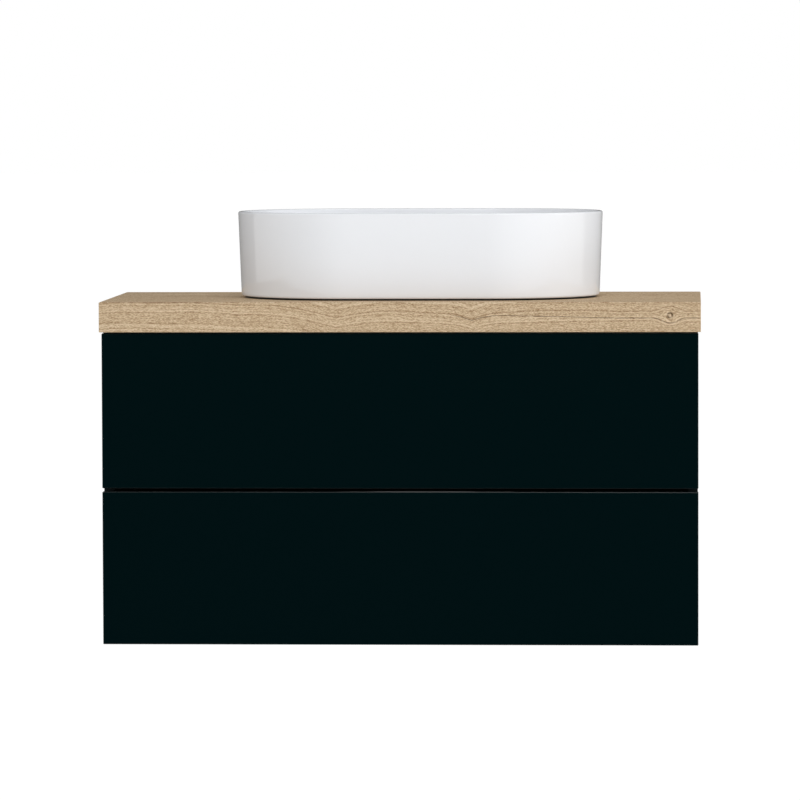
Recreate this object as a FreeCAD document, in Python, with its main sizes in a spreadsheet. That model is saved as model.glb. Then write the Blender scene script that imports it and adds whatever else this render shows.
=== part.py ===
"""Wall-hung vanity: two handleless drawers, an oak-decor worktop and a ceramic vessel basin.

Millimetres. X runs to the right, the fronts face -Y, the wall is the plane y = 0 and Z is up.
The origin is the centre of the wall rail's line of screw holes.
"""

import FreeCAD, Part
import Sketcher
import math
import os
import re
from FreeCAD import Placement, Rotation, Vector

DOC = FreeCAD.newDocument("vanity")

SIZES = {
    # how far a cutting shape runs out of its piece, and how deep joined shapes go into each other
    "run_out": 1,
    "root": 1,
    # worktop
    "top_width": 1000,
    "top_depth": 460,
    "top_thick": 50,
    "top_edge": 0.8,
    "top_above_holes": 55,
    # drawer fronts
    "front_inset": 4,
    "front_thick": 19,
    "front_edge": 1,
    "front_setback": 3,
    "front_top_gap": 2,
    "front_gap": 6,
    "upper_front_height": 258,
    "lower_front_height": 255,
    "press_gap": 3,
    # carcass
    "carcass_inset": 5,
    "front_below_carcass": 2,
    "board": 16,
    "front_rail_depth": 70,
    "rear_rail_below": 30,
    "back_board": 8,
    "service_gap": 20,
    "groove_depth": 6,
    "groove_clear": 0.1,
    "service_width": 300,
    "service_height": 150,
    "service_top": 10,
    "service_corner": 20,
    # worktop brackets
    "bracket_leg": 20,
    "bracket_length": 34,
    "bracket_thick": 2,
    "bracket_from_wall": 95,
    "bracket_from_rail": 30,
    # wall rail and cabinet hangers
    "rail_thick": 2,
    "rail_below": 18,
    "rail_above": 12,
    "rail_stand_off": 8,
    "rail_lip": 12,
    "rail_end_gap": 1.5,
    "rail_hole": 3.5,
    "rail_hole_spacing": 280,
    "hanger_width": 18,
    "hanger_depth": 50,
    "hanger_height": 42,
    "hanger_below_top": 5,
    "hanger_corner": 3,
    "hook_width": 13,
    "hook_thick": 2.5,
    "hook_reach": 25,
    "hook_clear": 0.3,
    # drawer boxes
    "runner_width": 12.7,
    "box_board": 15,
    "box_from_wall": 38,
    "box_lift": 24,
    "upper_box_height": 136,
    "lower_box_height": 190,
    "box_floor": 8,
    "floor_lift": 10,
    "floor_clear": 0.2,
    # runners
    "runner_height": 45,
    "runner_from_wall": 33,
    "runner_lift": 35,
    "runner_inset": 2,
    "steel": 1.2,
    "race_gap": 2.9,
    "ball_clear": 0.3,
    "outer_reach": 8.5,
    "outer_lip": 2.3,
    "middle_from_wall": 3.6,
    "middle_reach": 11.2,
    "inner_from_wall": 6.4,
    "cage_sheet": 0.6,
    "cage_length": 160,
    # push latches
    "latch_width": 14,
    "latch_depth": 50,
    "latch_height": 16,
    "latch_lift": 20,
    "plunger_width": 7,
    "plunger_length": 30,
    "plunger_stand_out": 0.5,
    "plunger_clear": 0.2,
    # siphon slot in the upper drawer
    "slot_radius": 90,
    "slot_wall": 3,
    "slot_flange": 12,
    "slot_flange_thick": 2.5,
    "slot_clear": 0.2,
    # basin
    "basin_offset": 24,
    "basin_behind_edge": 52,
    "basin_length": 620,
    "basin_width": 385,
    "basin_height": 146,
    "basin_draft": 5,
    "basin_wall": 8,
    "rim_chamfer": 1.5,
    "heel_height": 4,
    "heel_set_in": 9,
    "heel_upper_height": 10,
    "heel_upper_set_in": 3,
    "foot_inset": 22,
    "foot_height": 3,
    "foot_band": 24,
    "hollow_depth": 22,
    "hollow_boss": 45,
    "bowl_depth": 104,
    "bowl_draft": 10,
    "bowl_corner_depth": 26,
    "bowl_corner_run": 18,
    "bowl_floor_depth": 9,
    "bowl_floor_run": 24,
    "bowl_fall": 5,
    "fall_radius": 80,
    "waste_hole": 23,
    # waste
    "waste_recess": 33,
    "waste_flange": 32,
    "waste_flange_thick": 3,
    "waste_tube": 21,
    "waste_wall": 2.5,
    "waste_below_top": 34,
    "worktop_hole": 25,
    "plug_radius": 30,
    "plug_thick": 5,
    "plug_stem": 5,
    "plug_stem_length": 30,
    "plug_clear": 0.3,
    "guide_radius": 8.5,
    "guide_height": 10,
    "guide_drop": 16,
    "guide_arm": 3,
    "back_nut_radius": 30,
    "back_nut_height": 12,
    "thread_clear": 0.2,
    # trap
    "pipe_radius": 16,
    "pipe_wall": 2,
    "pipe_flange": 4,
    "pipe_flange_thick": 2.5,
    "inlet_nut_radius": 26,
    "inlet_nut_height": 22,
    "nut_lip": 2,
    "neck_drop": 66,
    "neck_height": 14,
    "neck_wall": 4,
    "small_nut_radius": 24,
    "small_nut_height": 15,
    "bottle_radius": 33,
    "bottle_height": 97,
    "bottle_wall": 3,
    "outlet_drop": 125,
    "outlet_stand_off": 2,
    "cup_drop": 16,
    "cup_wall": 3,
    "cup_overlap": 12,
    "pipe_past_wall": 40,
    "rosette_radius": 37,
    "rosette_depth": 8,
    "rosette_wall": 1.5,
    "rosette_bore_clear": 0.3,
    "pipe_clear": 0.2,
    "pipe_dip": 14,
    "stop_bead": 2,
}

# Places worked out from the sizes, as formulas for the sheet. Depths are distances from the wall.
CARCASS = "(top_width / 2 - carcass_inset)"
INSIDE = "(top_width / 2 - carcass_inset - board)"
FRONT_END = "(top_width / 2 - front_inset)"
TOP = "top_above_holes"
FRONT_BACK = "(top_depth - front_setback - front_thick)"
CARCASS_DEPTH = f"({FRONT_BACK} - press_gap)"
GROOVE = "(back_board + 2 * groove_clear)"
NOTCH_FLOOR = f"({TOP} - hanger_below_top - hanger_height - hanger_corner)"
RUNNER_FRONT = f"({CARCASS_DEPTH} - runner_inset)"
RUNNER_LENGTH = f"({RUNNER_FRONT} - runner_from_wall)"
BOX_SIDE = f"({INSIDE} - runner_width)"
BOX_INSIDE = f"({INSIDE} - runner_width - box_board)"
UPPER_TOP = f"({TOP} - front_top_gap)"
UPPER_BOTTOM = f"({UPPER_TOP} - upper_front_height)"
LOWER_TOP = f"({UPPER_BOTTOM} - front_gap)"
LOWER_BOTTOM = f"({LOWER_TOP} - lower_front_height)"
FLOOR = f"({LOWER_BOTTOM} + front_below_carcass)"
BASIN_DEPTH = "(top_depth - basin_behind_edge - basin_width / 2)"
BASIN_BASE = f"({TOP} + top_thick)"
BASIN_END = "(basin_width / 2)"
BASIN_STRAIGHT = "(basin_length / 2 - basin_width / 2)"
OUTLET_HEIGHT = f"({TOP} - outlet_drop)"
WASTE_FLOOR = f"({BASIN_BASE} + basin_height - bowl_depth - bowl_fall)"
FLANGE_SEAT = f"({WASTE_FLOOR} - waste_flange_thick)"
DRAWERS = {
    "upper": (UPPER_BOTTOM, UPPER_TOP, "upper_box_height"),
    "lower": (LOWER_BOTTOM, LOWER_TOP, "lower_box_height"),
}
SIDES = {"left": "-1", "right": "1"}
SAME = 0.01
GUESS = 9
NODES = {}


def make_sheet():
    """The sheet of driving sizes, one named cell each."""
    sheet = DOC.addObject("Spreadsheet::Sheet", "Sizes")
    for row, (name, value) in enumerate(SIZES.items(), 1):
        sheet.set(f"A{row}", name)
        sheet.set(f"B{row}", str(value))
        sheet.setAlias(f"B{row}", name)
    DOC.addObject("Spreadsheet::Sheet", "Guess")
    DOC.recompute()


def formula(text):
    """Text with each size's name replaced by its cell in the sheet."""
    return re.sub(r"[a-z_]\w*", lambda word: cell_of(word.group(0)), text)


def cell_of(word):
    """The sheet's cell for a size's name, and any other word as it is."""
    return "Sizes." + word if word in SIZES else word


def size(name):
    """A driving size as a number."""
    return float(DOC.getObject("Sizes").get(name))


def number(text):
    """A formula's value, from which a sketch's solver starts."""
    guess = DOC.getObject("Guess")
    guess.set("A1", "=" + formula(text))
    guess.recompute()
    return float(guess.get("A1"))


def bind(thing, **texts):
    """Ties properties to formulas; at_x, at_y and at_z are the placement's."""
    for name, text in texts.items():
        target = f"Placement.Base.{name[-1]}" if name.startswith("at_") else name
        thing.setExpression(target, formula(text))
    return thing


def keep(label, thing):
    """Names a finished piece and lists it as a node."""
    thing.Label = label
    NODES[label] = thing
    return thing


# ---- solids from primitives


def board(name, x, y, z):
    """A square-edged board between two corners, each axis a (low, high) pair of formulas."""
    piece = DOC.addObject("Part::Box", name)
    bind(piece, Length=f"({x[1]}) - ({x[0]})", Width=f"({y[1]}) - ({y[0]})", Height=f"({z[1]}) - ({z[0]})")
    return bind(piece, at_x=x[0], at_y=y[0], at_z=z[0])


def rod(name, radius, length, spot, along="+Z"):
    """A cylinder that starts at a spot and runs along one axis."""
    way = Vector(*(float(along[1] == axis) for axis in "XYZ"))
    way = way if along[0] == "+" else -way
    piece = DOC.addObject("Part::Cylinder", name)
    piece.Placement = Placement(Vector(), Rotation(Vector(0, 0, 1), way))
    bind(piece, Radius=radius, Height=length)
    return bind(piece, at_x=spot[0], at_y=spot[1], at_z=spot[2])


def around(middle, half):
    """The (low, high) pair of a span with its middle and half its width given."""
    return (f"{middle} - {half}", f"{middle} + {half}")


def group(name, pieces):
    """Like pieces that stay separate solids in one object."""
    whole = DOC.addObject("Part::Compound", name)
    whole.Links = pieces
    return whole


def cut(name, base, tools):
    """A piece with pockets and holes taken out of it."""
    whole = DOC.addObject("Part::Cut", name)
    whole.Base = base
    whole.Tool = tools[0] if len(tools) == 1 else group(name + "_tools", tools)
    return whole


def fuse(name, pieces):
    """Several shapes joined into one solid."""
    whole = DOC.addObject("Part::MultiFuse", name)
    whole.Shapes = pieces
    whole.Refine = True
    return whole


def mirrored(name, piece):
    """The same piece on the other side of the cabinet's middle."""
    twin = DOC.addObject("Part::Mirroring", name)
    twin.Source = piece
    twin.Normal = Vector(1, 0, 0)
    return twin


def pair(name, piece):
    """A right-hand piece and its left-hand twin in one node."""
    return group(name, [piece, mirrored(name + "_twin", piece)])


# ---- bodies from sketches


def body(name):
    return DOC.addObject("PartDesign::Body", name)


def sketch_on(owner, role, away="0"):
    """A sketch on one of the body's own planes, moved along the plane's normal."""
    sketch = owner.newObject("Sketcher::SketchObject", owner.Name + "_sketch")
    plane = next(part for part in owner.Origin.OriginFeatures if part.Role == role)
    sketch.AttachmentSupport = (plane, [""])
    sketch.MapMode = "FlatFace"
    sketch.setExpression("AttachmentOffset.Base.z", formula(away))
    return sketch


def limit(sketch, kind, *places, text):
    """A sketch dimension that follows a formula."""
    dimension = sketch.addConstraint(Sketcher.Constraint(kind, *places, number(text)))
    sketch.setExpression(f"Constraints[{dimension}]", formula(text))


def outline(sketch, corners):
    """A closed polygon whose corners are (across, up) pairs of formulas."""
    first = sketch.GeometryCount
    count = len(corners)
    for i in range(count):
        start, end = (2 * math.pi * step / count for step in (i, i + 1))
        ends = [(GUESS * math.cos(turn), GUESS * math.sin(turn)) for turn in (start, end)]
        line(sketch, *ends)
    for i, (across, up) in enumerate(corners):
        sketch.addConstraint(Sketcher.Constraint("Coincident", first + i, 2, first + (i + 1) % count, 1))
        limit(sketch, "DistanceX", -1, 1, first + i, 1, text=across)
        limit(sketch, "DistanceY", -1, 1, first + i, 1, text=up)


def rectangle(across, up):
    """The corners of a rectangle between two (low, high) pairs of formulas."""
    return [(across[0], up[0]), (across[1], up[0]), (across[1], up[1]), (across[0], up[1])]


def circle(sketch, radius, across="0", up="0"):
    """A circle with its centre and radius tied to formulas."""
    whole = sketch.addGeometry(Part.Circle(Vector(0, 0, 0), Vector(0, 0, 1), GUESS), False)
    limit(sketch, "Radius", whole, text=radius)
    limit(sketch, "DistanceX", -1, 1, whole, 3, text=across)
    limit(sketch, "DistanceY", -1, 1, whole, 3, text=up)


def arc(sketch, centre, radius, start):
    """Adds half a circle, counter-clockwise from its start."""
    turn = Part.Circle(Vector(centre, 0, 0), Vector(0, 0, 1), radius)
    return sketch.addGeometry(Part.ArcOfCircle(turn, start, start + math.pi), False)


def line(sketch, start, end):
    return sketch.addGeometry(Part.LineSegment(Vector(*start, 0), Vector(*end, 0)), False)


def stadium(sketch, straight, radius):
    """Two half circles, straight each side of the middle, joined by two lines along X."""
    x, r = number(straight), number(radius)
    right = arc(sketch, x, r, -math.pi / 2)
    left = arc(sketch, -x, r, math.pi / 2)
    rear = line(sketch, (x, r), (-x, r))
    front = line(sketch, (-x, -r), (x, -r))
    for half, sign in ((right, "1"), (left, "-1")):
        limit(sketch, "Radius", half, text=radius)
        sketch.addConstraint(Sketcher.Constraint("PointOnObject", half, 3, -1))
        for place in (1, 2, 3):
            limit(sketch, "DistanceX", -1, 1, half, place, text=f"{sign} * ({straight})")
    for one, following in ((right, rear), (rear, left), (left, front), (front, right)):
        sketch.addConstraint(Sketcher.Constraint("Coincident", one, 2, following, 1))


def horseshoe(sketch, inner, outer, legs):
    """A U of even width, open towards +Y, with its half circles about the sketch's origin."""
    r, big, far = number(inner), number(outer), number(legs)
    inside = arc(sketch, 0, r, math.pi)
    outside = arc(sketch, 0, big, math.pi)
    for half, radius in ((inside, inner), (outside, outer)):
        limit(sketch, "Radius", half, text=radius)
        sketch.addConstraint(Sketcher.Constraint("Coincident", half, 3, -1, 1))
        sketch.addConstraint(Sketcher.Constraint("PointOnObject", half, 1, -1))
        sketch.addConstraint(Sketcher.Constraint("PointOnObject", half, 2, -1))
    for sign, end in ((-1, 1), (1, 2)):
        leg = line(sketch, (sign * r, 0), (sign * r, far))
        top = line(sketch, (sign * r, far), (sign * big, far))
        back = line(sketch, (sign * big, far), (sign * big, 0))
        sketch.addConstraint(Sketcher.Constraint("Coincident", inside, end, leg, 1))
        sketch.addConstraint(Sketcher.Constraint("Coincident", leg, 2, top, 1))
        sketch.addConstraint(Sketcher.Constraint("Coincident", top, 2, back, 1))
        sketch.addConstraint(Sketcher.Constraint("Coincident", back, 2, outside, end))
        sketch.addConstraint(Sketcher.Constraint("Vertical", leg))
        sketch.addConstraint(Sketcher.Constraint("Vertical", back))
        sketch.addConstraint(Sketcher.Constraint("Horizontal", top))
        limit(sketch, "DistanceY", -1, 1, leg, 2, text=legs)


def pad(owner, sketch, length):
    """A sketch raised along its plane's normal."""
    feature = owner.newObject("PartDesign::Pad", owner.Name + "_pad")
    feature.Profile = sketch
    feature.setExpression("Length", formula(length))
    return feature


def pocket(owner, sketch, length, up):
    """A sketch sunk into the body, upwards along the plane's normal or downwards against it."""
    feature = owner.newObject("PartDesign::Pocket", owner.Name + "_pocket")
    feature.Profile = sketch
    feature.Reversed = up
    feature.setExpression("Length", formula(length))
    return feature


def turned(name, corners):
    """A body of revolution about its own Z axis, from (radius, height) pairs of formulas."""
    piece = body(name)
    sketch = sketch_on(piece, "XZ_Plane")
    outline(sketch, corners)
    feature = piece.newObject("PartDesign::Revolution", name + "_turn")
    feature.Profile = sketch
    feature.ReferenceAxis = (sketch, ["V_Axis"])
    feature.Angle = 360
    return piece


def dressed(owner, kind, base, width, picks):
    """A PartDesign Fillet or Chamfer on the edges of a feature that a test picks."""
    feature = owner.newObject(f"PartDesign::{kind}", f"{owner.Name}_{kind.lower()}")
    DOC.recompute()
    feature.Base = (base, [f"Edge{i}" for i, edge in enumerate(base.Shape.Edges, 1) if picks(edge)])
    feature.setExpression("Radius" if kind == "Fillet" else "Size", formula(width))
    return feature


def every(_):
    """A test that picks all edges."""
    return True


def runs_along(axis):
    """A test for straight edges that run along one axis."""
    way = {"X": Vector(1, 0, 0), "Y": Vector(0, 1, 0), "Z": Vector(0, 0, 1)}[axis]

    def runs(edge):
        straight = edge.Curve.TypeId == "Part::GeomLine"
        return straight and abs(edge.tangentAt(edge.FirstParameter).dot(way)) > 1 - SAME

    return runs


# ---- worktop and carcass


def make_worktop():
    """The worktop, with the waste's hole."""
    slab = body("worktop_slab")
    sketch = sketch_on(slab, "XY_Plane", TOP)
    outline(sketch, rectangle(("-top_width / 2", "top_width / 2"), ("-top_depth", "0")))
    dressed(slab, "Chamfer", pad(slab, sketch, "top_thick"), "top_edge", every)
    spot = ("basin_offset", f"-{BASIN_DEPTH}", f"{TOP} - run_out")
    hole = rod("worktop_waste_hole", "worktop_hole", "top_thick + 2 * run_out", spot)
    keep("worktop", cut("worktop", slab, [hole]))


def make_side_panels():
    """Side panels with a groove for the back panel."""
    for side, sign in SIDES.items():
        low, high = (INSIDE, CARCASS) if sign == "1" else (f"-{CARCASS}", f"-{INSIDE}")
        panel = board(f"{side}_board", (low, high), (f"-{CARCASS_DEPTH}", "0"), (FLOOR, TOP))
        groove_low = INSIDE if sign == "1" else f"-({INSIDE} + groove_depth)"
        groove_x = (groove_low, f"{groove_low} + groove_depth")
        groove_z = (f"{FLOOR} + board - groove_depth", "-rear_rail_below")
        groove = board(f"{side}_groove", groove_x, (f"-(service_gap + {GROOVE})", "-service_gap"), groove_z)
        keep(f"side_panel_{side}", cut(f"side_panel_{side}", panel, [groove]))


def make_bottom_panel():
    """The carcass floor, grooved for the back panel."""
    across = (f"-{INSIDE}", INSIDE)
    panel = board("bottom_board", across, (f"-{CARCASS_DEPTH}", "0"), (FLOOR, f"{FLOOR} + board"))
    groove_z = (f"{FLOOR} + board - groove_depth", f"{FLOOR} + board")
    groove = board("bottom_groove", across, (f"-(service_gap + {GROOVE})", "-service_gap"), groove_z)
    keep("bottom_panel", cut("bottom_panel", panel, [groove]))


def make_front_rail():
    """The flat rail under the worktop's front."""
    y = (f"-{CARCASS_DEPTH}", f"-({CARCASS_DEPTH} - front_rail_depth)")
    keep("front_rail", board("front_rail", (f"-{INSIDE}", INSIDE), y, (f"{TOP} - board", TOP)))


def make_rear_rail():
    """The upright rail at the back, notched at both ends for the cabinet hangers."""
    notch = f"({INSIDE} - hanger_width - hanger_corner)"
    rail = body("rear_rail")
    sketch = sketch_on(rail, "XZ_Plane", "service_gap")
    ends = [(INSIDE, "-rear_rail_below"), (INSIDE, NOTCH_FLOOR), (notch, NOTCH_FLOOR), (notch, TOP)]
    outline(sketch, ends + [(f"-{x}", z) for x, z in reversed(ends)])
    pad(rail, sketch, "board")
    keep("rear_rail", rail)


def make_back_panel():
    """The back panel in its grooves, with a rounded opening for the pipework."""
    panel = body("back_panel")
    edge = f"({INSIDE} + groove_depth - groove_clear)"
    low = f"({FLOOR} + board - groove_depth + groove_clear)"
    high = "-rear_rail_below"
    sketch = sketch_on(panel, "XZ_Plane", "service_gap + groove_clear")
    outline(sketch, rectangle((f"-{edge}", edge), (low, high)))
    pad(panel, sketch, "back_board")
    window = sketch_on(panel, "XZ_Plane", "service_gap + groove_clear")
    left, right = "basin_offset - service_width / 2", "basin_offset + service_width / 2"
    top = f"({high} - service_top)"
    bottom = f"({top} - service_height)"
    outline(window, rectangle((left, right), (bottom, top)))
    opening = pocket(panel, window, "back_board", True)
    DOC.recompute()

    def window_corner(edge):
        from_middle = abs(edge.BoundBox.XMin - size("basin_offset"))
        return runs_along("Y")(edge) and from_middle < size("service_width")

    dressed(panel, "Fillet", opening, "service_corner", window_corner)
    keep("back_panel", panel)


def make_brackets():
    """Four steel angle brackets that hold the worktop to the side panels."""
    free = f"({INSIDE} - bracket_leg)"
    inner = f"({INSIDE} - bracket_thick)"
    under = f"({TOP} - bracket_thick)"
    corners = [(INSIDE, TOP), (INSIDE, f"{TOP} - bracket_leg"), (inner, f"{TOP} - bracket_leg")]
    corners += [(inner, under), (free, under), (free, TOP)]
    angles = []
    before_rail = f"{CARCASS_DEPTH} - front_rail_depth - bracket_from_rail"
    for n, middle in enumerate(("bracket_from_wall", before_rail)):
        angle = body(f"bracket_{n}")
        sketch = sketch_on(angle, "XZ_Plane", f"{middle} - bracket_length / 2")
        outline(sketch, corners)
        pad(angle, sketch, "bracket_length")
        angles.append(angle)
    keep("worktop_brackets", pair("worktop_brackets", group("worktop_brackets_right", angles)))


def make_wall_rail():
    """The Z-shaped steel rail that is screwed to the wall and carries the cabinet."""
    reach = f"({INSIDE} - rail_end_gap)"
    rail = body("wall_rail_strip")
    sketch = sketch_on(rail, "YZ_Plane", f"-{reach}")
    step = "rail_above + rail_thick"
    lip = f"{step} + rail_lip"
    front = "-(rail_stand_off + rail_thick)"
    corners = [("0", "-rail_below"), ("0", step), ("-rail_stand_off", step), ("-rail_stand_off", lip)]
    corners += [(front, lip), (front, "rail_above"), ("-rail_thick", "rail_above")]
    corners += [("-rail_thick", "-rail_below")]
    outline(sketch, corners)
    pad(rail, sketch, f"2 * {reach}")
    holes = []
    for n, place in enumerate((-1.5, -0.5, 0.5, 1.5)):
        spot = (f"{place} * rail_hole_spacing", "run_out", "0")
        holes.append(rod(f"wall_rail_hole_{n}", "rail_hole", "rail_thick + 2 * run_out", spot, "-Y"))
    keep("wall_rail", cut("wall_rail", rail, holes))


def make_hangers():
    """Cabinet hangers in the top rear corners: a housing and its hook over the wall rail."""
    high = f"({TOP} - hanger_below_top)"
    low = f"({high} - hanger_height)"
    rear, front = "-service_gap", "-(service_gap + hanger_depth)"
    block = body("hanger_block")
    sketch = sketch_on(block, "YZ_Plane", f"{INSIDE} - hanger_width")
    corners = [(rear, low), (rear, high), (f"{front} + hanger_corner", high)]
    corners += [(front, f"{high} - hanger_corner"), (front, f"{low} + hanger_corner")]
    corners += [(f"{front} + hanger_corner", low)]
    outline(sketch, corners)
    pad(block, sketch, "hanger_width")

    middle = f"({INSIDE} - hanger_width / 2)"
    lip_top = "(rail_above + rail_thick + rail_lip)"
    behind = "(rail_stand_off - hook_clear)"
    arm_low, arm_high = f"({lip_top} + hook_clear)", f"({lip_top} + hook_clear + hook_thick)"
    inside = "(service_gap + hook_reach)"
    slot_x = (f"{middle} - hook_width / 2 - hook_clear", f"{middle} + hook_width / 2 + hook_clear")
    slot_y = (f"-({inside} + hook_clear)", "-service_gap + run_out")
    slot = board("hanger_slot", slot_x, slot_y, (f"{arm_low} - hook_clear", f"{arm_high} + hook_clear"))
    keep("hanger_housings", pair("hanger_housings", cut("hanger_housing", block, [slot])))

    hook = body("hanger_hook")
    sketch = sketch_on(hook, "YZ_Plane", f"{middle} - hook_width / 2")
    tip = "(rail_above + rail_thick + hook_clear)"
    rear_face = f"-({behind} - hook_thick)"
    corners = [(rear_face, tip), (rear_face, arm_high), (f"-{inside}", arm_high), (f"-{inside}", arm_low)]
    corners += [(f"-{behind}", arm_low), (f"-{behind}", tip)]
    outline(sketch, corners)
    pad(hook, sketch, "hook_width")
    keep("hanger_hooks", pair("hanger_hooks", hook))


def make_latches():
    """Push-to-open latches at the carcass's front edges, two for each drawer."""
    housings, plungers = [], []
    for drawer, (bottom, _, box_height) in DRAWERS.items():
        centre = f"({bottom} + box_lift + {box_height} + latch_lift)"
        x = (f"{INSIDE} - latch_width", INSIDE)
        y = (f"-{CARCASS_DEPTH}", f"-({CARCASS_DEPTH} - latch_depth)")
        z = (f"{centre} - latch_height / 2", f"{centre} + latch_height / 2")
        block = board(f"{drawer}_latch_block", x, y, z)
        middle = f"({INSIDE} - latch_width / 2)"
        rear = f"-({CARCASS_DEPTH} + plunger_stand_out - plunger_length)"
        y = (f"{rear} - plunger_length", rear)
        half = "(plunger_width / 2)"
        plunger = board(f"{drawer}_plunger", around(middle, half), y, around(centre, half))
        loose = "(plunger_width / 2 + plunger_clear)"
        bore = board(f"{drawer}_latch_bore", around(middle, loose), y, around(centre, loose))
        housings.append(cut(f"{drawer}_latch", block, [bore]))
        plungers.append(plunger)
    keep("push_latches", pair("push_latches", group("push_latches_right", housings)))
    keep("push_latch_plungers", pair("push_latch_plungers", group("push_latch_plungers_right", plungers)))


# ---- runners


def channel(name, corners, centre, length, start):
    """A steel strip rolled to a section, from the side panel inwards, and run along Y."""
    strip = body(name)
    sketch = sketch_on(strip, "XZ_Plane", start)
    outline(sketch, [(f"{INSIDE} - ({across})", f"{centre} + ({up})") for across, up in corners])
    pad(strip, sketch, length)
    return strip


def lipped(back, front, half, thick, lip):
    """A C section that opens away from its web, with a lip turned in at each free edge."""
    inner = f"({half} - {thick})"
    top = [(back, half), (front, half), (front, f"{half} - {lip} - {thick}")]
    top += [(f"{front} - ({thick})", f"{half} - {lip} - {thick}"), (f"{front} - ({thick})", inner)]
    top += [(f"{back} + {thick}", inner)]
    return top + [(across, f"-({up})") for across, up in reversed(top)]


def plain(web, edge, half, thick, turn):
    """A C section with plain flanges from its web to their free edge."""
    inner = f"({half} - {thick})"
    top = [(web, half), (edge, half), (edge, inner), (f"{web} + {turn} * {thick}", inner)]
    return top + [(across, f"-({up})") for across, up in reversed(top)]


def make_runners():
    """Full-extension runners: outer, middle and inner members with a ball cage in each pair of races."""
    half = "(runner_height / 2)"
    middle_half = f"({half} - steel - race_gap)"
    inner_half = f"({middle_half} - steel - race_gap)"
    outer_cage_half = f"({half} - steel - ball_clear)"
    inner_cage_half = f"({middle_half} - steel - ball_clear)"
    ball = "(race_gap - 2 * ball_clear)"
    cage_gap = "((middle_from_wall - steel - cage_sheet) / 2)"
    sections = {
        "runner_outer": lipped("0", "outer_reach", half, "steel", "outer_lip"),
        "runner_middle": plain("middle_from_wall", "middle_reach", middle_half, "steel", "1"),
        "runner_inner": plain("runner_width", "inner_from_wall", inner_half, "steel", "-1"),
    }
    outer_web = f"(steel + {cage_gap})"
    inner_web = "(middle_from_wall + steel + ball_clear)"
    cages = {
        "cages_outer": cage(outer_web, "outer_reach - steel - ball_clear", outer_cage_half, ball),
        "cages_inner": cage(inner_web, "middle_reach - ball_clear", inner_cage_half, ball),
    }
    for drawer, (bottom, _, _) in DRAWERS.items():
        centre = f"({bottom} + box_lift + runner_lift)"
        for part, section in sections.items():
            strip = channel(f"{drawer}_{part}_right", section, centre, RUNNER_LENGTH, "runner_from_wall")
            keep(f"{drawer}_{part}", pair(f"{drawer}_{part}", strip))
        start = f"({RUNNER_FRONT} + runner_from_wall - cage_length) / 2"
        for part, section in cages.items():
            strip = channel(f"{drawer}_{part}_right", section, centre, "cage_length", start)
            keep(f"{drawer}_{part}", pair(f"{drawer}_{part}", strip))


def cage(web, edge, half, ball):
    """A ball cage's section: a thin web between two strips that fill the races."""
    top = [(web, half), (edge, half), (edge, f"{half} - {ball}"), (f"{web} + cage_sheet", f"{half} - {ball}")]
    return top + [(across, f"-({up})") for across, up in reversed(top)]


# ---- drawers


def make_front(drawer):
    """A drawer front with softened edges."""
    bottom, top, _ = DRAWERS[drawer]
    slab = body(f"{drawer}_drawer_front")
    sketch = sketch_on(slab, "XZ_Plane", FRONT_BACK)
    outline(sketch, rectangle((f"-{FRONT_END}", FRONT_END), (bottom, top)))
    dressed(slab, "Chamfer", pad(slab, sketch, "front_thick"), "front_edge", every)
    keep(f"{drawer}_drawer_front", slab)


def floor_groove(name, x, y, bottom):
    """The groove that holds a drawer's floor."""
    lift = f"({bottom} + box_lift + floor_lift)"
    return board(name, x, y, (f"{lift} - groove_clear", f"{lift} + box_floor + groove_clear"))


def make_box(drawer):
    """A drawer box's sides and inner front, grooved for its floor."""
    bottom, _, box_height = DRAWERS[drawer]
    low, high = f"({bottom} + box_lift)", f"({bottom} + box_lift + {box_height})"
    rear = "-box_from_wall"
    for side, sign in SIDES.items():
        edges = [BOX_INSIDE, BOX_SIDE] if sign == "1" else [f"-{BOX_SIDE}", f"-{BOX_INSIDE}"]
        panel = board(f"{drawer}_{side}_board", edges, (f"-{FRONT_BACK}", rear), (low, high))
        groove_low = BOX_INSIDE if sign == "1" else f"-({BOX_INSIDE} + groove_depth)"
        groove_x = (groove_low, f"{groove_low} + groove_depth")
        groove_y = (f"-{FRONT_BACK} + box_board - groove_depth", f"{rear} + run_out")
        groove = floor_groove(f"{drawer}_{side}_groove", groove_x, groove_y, bottom)
        name = f"{drawer}_drawer_side_{side}"
        keep(name, cut(name, panel, [groove]))

    across = (f"-{BOX_INSIDE}", BOX_INSIDE)
    inside_face = f"-({FRONT_BACK} - box_board)"
    panel = board(f"{drawer}_inner_board", across, (f"-{FRONT_BACK}", inside_face), (low, high))
    groove_y = (f"{inside_face} - groove_depth", inside_face)
    groove = floor_groove(f"{drawer}_inner_groove", across, groove_y, bottom)
    name = f"{drawer}_drawer_inner_front"
    keep(name, cut(name, panel, [groove]))


def drawer_floor(drawer):
    """The board that slides into the drawer's grooves from behind."""
    bottom = DRAWERS[drawer][0]
    edge = f"({BOX_INSIDE} + groove_depth - floor_clear)"
    front = f"-({FRONT_BACK} - box_board + groove_depth - floor_clear)"
    low = f"({bottom} + box_lift + floor_lift)"
    y = (front, "-box_from_wall")
    return board(f"{drawer}_floor_board", (f"-{edge}", edge), y, (low, f"{low} + box_floor"))


def back_board(name, drawer, x):
    """A drawer back, or a part of one, that stands on the drawer's floor."""
    bottom, _, box_height = DRAWERS[drawer]
    y = ("-(box_from_wall + box_board)", "-box_from_wall")
    z = (f"{bottom} + box_lift + floor_lift + box_floor", f"{bottom} + box_lift + {box_height}")
    return board(name, x, y, z)


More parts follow.
